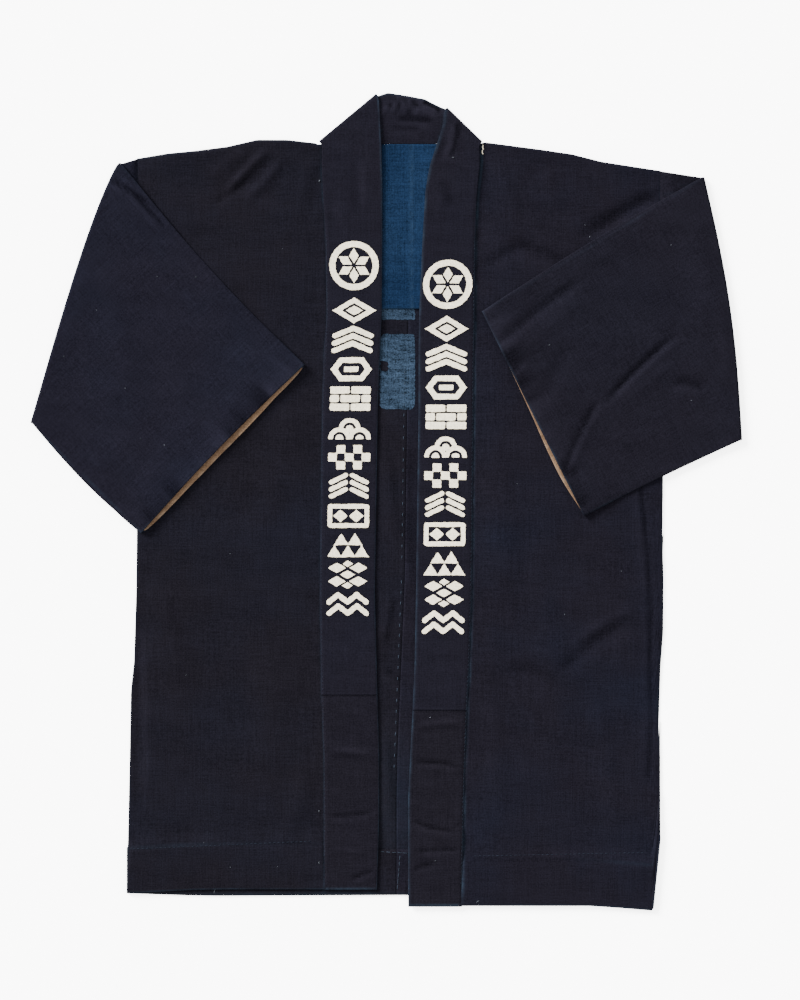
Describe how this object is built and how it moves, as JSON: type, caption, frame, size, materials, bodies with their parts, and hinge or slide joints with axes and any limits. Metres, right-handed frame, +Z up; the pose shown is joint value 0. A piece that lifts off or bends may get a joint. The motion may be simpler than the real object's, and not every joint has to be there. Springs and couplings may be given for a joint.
{
  "type": "happi coat",
  "caption": "Short indigo cotton happi coat laid flat with its front up, its open front bordered by one long collar band and its wide sleeves folded over the front.",
  "frame": {"origin": "under the middle of the coat as it lies, at the level of the surface that it lies on", "axes": "+Y up the coat towards its neck, +Z up out of the surface, +X to the right as seen from above"},
  "size_m": [0.8191, 0.94, 0.0075],
  "materials": {
    "body_left": "matt plain-weave indigo cotton",
    "body_right": "matt plain-weave indigo cotton",
    "sleeve_left": "matt plain-weave indigo cotton",
    "sleeve_right": "matt plain-weave indigo cotton",
    "collar": "matt plain-weave indigo cotton, folded double",
    "cuff_facing_left": "matt brown cotton",
    "cuff_facing_right": "matt brown cotton",
    "shoulder_lining": "matt blue slubbed cotton"
  },
  "bodies": {
    "root": {"body_left": "body_left", "body_right": "body_right", "sleeve_left": "sleeve_left", "sleeve_right": "sleeve_right", "collar_upper": "collar", "collar_lower_left": "collar", "collar_lower_right": "collar", "cuff_facing_left": "cuff_facing_left", "cuff_facing_right": "cuff_facing_right", "shoulder_lining": "shoulder_lining"}
  },
  "joints": []
}
